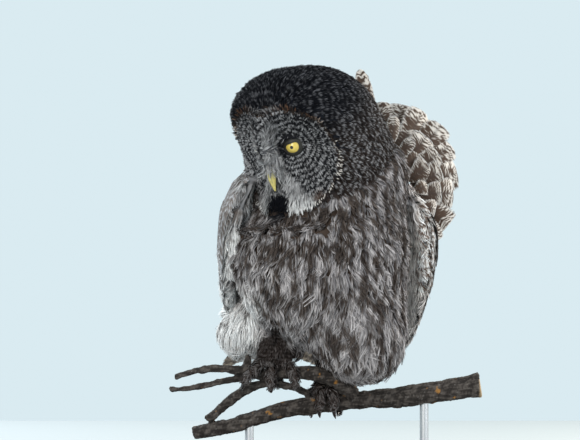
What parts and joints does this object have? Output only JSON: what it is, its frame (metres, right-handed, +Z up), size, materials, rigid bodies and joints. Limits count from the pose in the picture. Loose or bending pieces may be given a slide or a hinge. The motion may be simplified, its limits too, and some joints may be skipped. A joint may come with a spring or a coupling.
{
  "type": "great grey owl",
  "caption": "Life-size great grey owl, head turned and bowed, gripping a cut length of lichened branch, one wing loosened, on a plain display stand.",
  "frame": {"origin": "the middle of the underside of the stand's base", "axes": "+Z up; the owl's breast looks out along -Y, turned a little to its left, and its left side is towards +X"},
  "size_m": [0.4217, 0.4587, 0.5669],
  "materials": {
    "body_plumage": "soft, loose, hairy feathers in mottled dark brown, grey and white",
    "flight_feathers": "smooth overlapping vanes, buff-white barred with dark brown",
    "bill": "satin horn, yellow with a paler ridge",
    "eye": "wet gloss, yellow iris and small black pupil",
    "claw": "polished black horn",
    "bark": "rough grey-brown bark with lichen patches",
    "stand_base": "dark stained wood, satin",
    "stand_rod": "brushed steel"
  },
  "bodies": {
    "root": {"torso": "body_plumage", "neck": "body_plumage", "head": "body_plumage", "leg_left": "body_plumage", "leg_right": "body_plumage", "foot_left": "body_plumage", "foot_right": "body_plumage", "wing_left": "flight_feathers", "wing_right": "flight_feathers", "scapulars_left": "flight_feathers", "tail": "flight_feathers", "bill_upper": "bill", "bill_lower": "bill", "eye_left": "eye", "eye_right": "eye", "claw_left_1": "claw", "claw_left_2": "claw", "claw_left_3": "claw", "claw_left_4": "claw", "claw_right_1": "claw", "claw_right_2": "claw", "claw_right_3": "claw", "claw_right_4": "claw", "perch_limb": "bark", "perch_upper_fork": "bark", "perch_lower_fork": "bark", "stand_base": "stand_base", "stand_rod_1": "stand_rod", "stand_rod_2": "stand_rod"}
  },
  "joints": []
}
